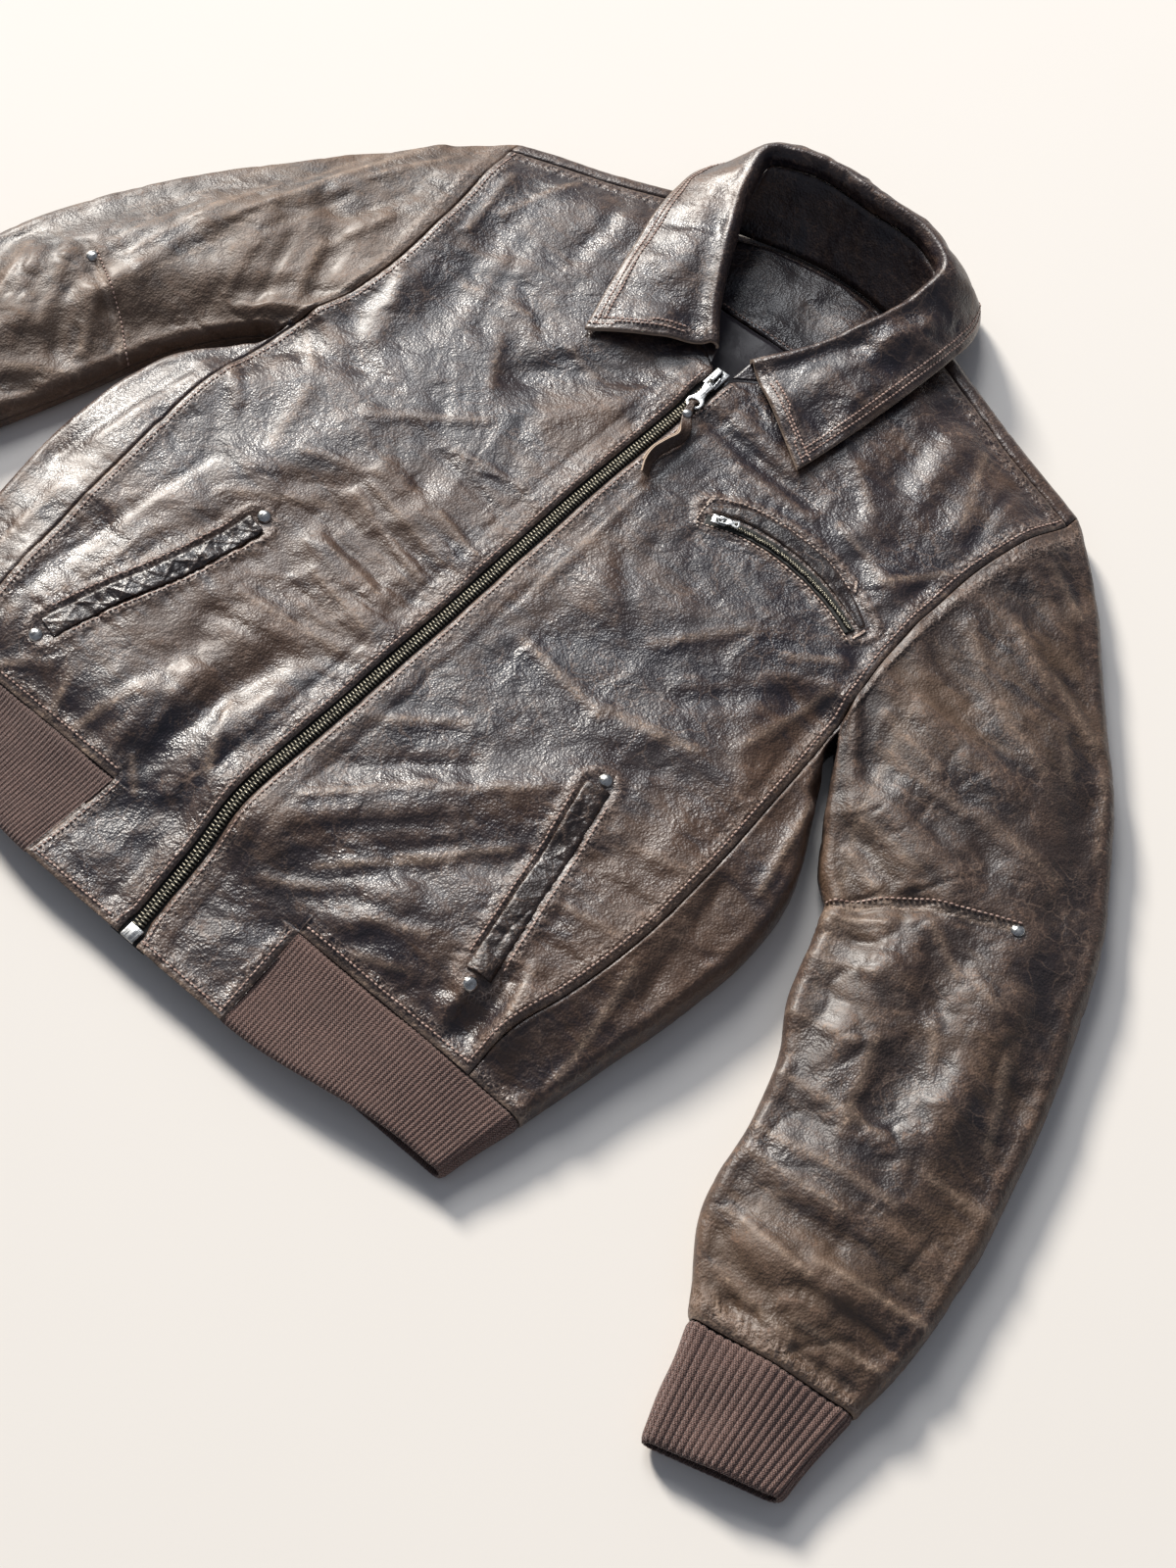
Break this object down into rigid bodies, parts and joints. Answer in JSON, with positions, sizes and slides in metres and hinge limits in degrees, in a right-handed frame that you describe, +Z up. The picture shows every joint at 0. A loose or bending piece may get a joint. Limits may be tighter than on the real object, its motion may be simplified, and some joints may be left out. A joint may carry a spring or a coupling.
{
  "type": "leather jacket",
  "caption": "Worn brown leather bomber jacket laid flat on its back, zipped up, with an open collar, ribbed knit hem and cuffs, slanted hip pockets and a zipped breast pocket.",
  "frame": {"origin": "on the underside of the back panel, on the body's middle line, in the plane it rests on", "axes": "+X to the wearer's left along the widest extent, +Y from the hem to the collar, +Z up from the surface the jacket lies on"},
  "size_m": [1.0175, 0.793, 0.0635],
  "materials": {
    "leather": "dark brown pull-up leather, worn and semi-gloss",
    "sleeve_leather": "brown pull-up leather, rubbed and creased",
    "welt_leather": "very dark brown leather, semi-gloss",
    "rib_knit": "matte ribbed knit, dark chocolate",
    "lining": "smooth dark satin",
    "zip_tape": "matte woven tape, near black",
    "antique_brass": "dulled antique brass",
    "silver_metal": "satin nickel",
    "strap_leather": "doubled waxed leather with raw pale edges"
  },
  "bodies": {
    "jacket": {"back_panel": "leather", "front_left": "leather", "front_right": "leather", "side_panel_left": "leather", "side_panel_right": "leather", "sleeve_left": "sleeve_leather", "sleeve_right": "sleeve_leather", "cuff_left": "rib_knit", "cuff_right": "rib_knit", "hem_rib": "rib_knit", "collar_fall": "leather", "collar_stand": "leather", "hip_welt_left": "welt_leather", "hip_welt_right": "welt_leather", "rivet_upper_left": "silver_metal", "rivet_lower_left": "silver_metal", "rivet_elbow_left": "silver_metal", "rivet_upper_right": "silver_metal", "rivet_lower_right": "silver_metal", "rivet_elbow_right": "silver_metal", "breast_welt": "welt_leather", "breast_zip_tape": "zip_tape", "breast_zip_chain": "antique_brass", "breast_slider": "silver_metal", "zip_tape_left": "zip_tape", "zip_tape_right": "zip_tape", "zip_chain": "antique_brass", "zip_bottom_box": "silver_metal", "zip_slider": "silver_metal", "lining": "lining", "neck_facing": "leather"},
    "zip_pull": {"zip_pull": "silver_metal", "pull_strap": "strap_leather", "pull_stud": "silver_metal"},
    "pocket_pull": {"breast_pull": "silver_metal"}
  },
  "joints": [
    {"name": "zip_pull_hinge", "type": "hinge", "parent": "jacket", "child": "zip_pull", "pos_m": [0.003, 0.2535, 0.04041], "axis": [-0.995, -0.0998, 0], "range_deg": [0, 100]},
    {"name": "pocket_pull_hinge", "type": "hinge", "parent": "jacket", "child": "pocket_pull", "pos_m": [0.08081, 0.16162, 0.04201], "axis": [0.3383, -0.941, 0], "range_deg": [0, 100]}
  ]
}
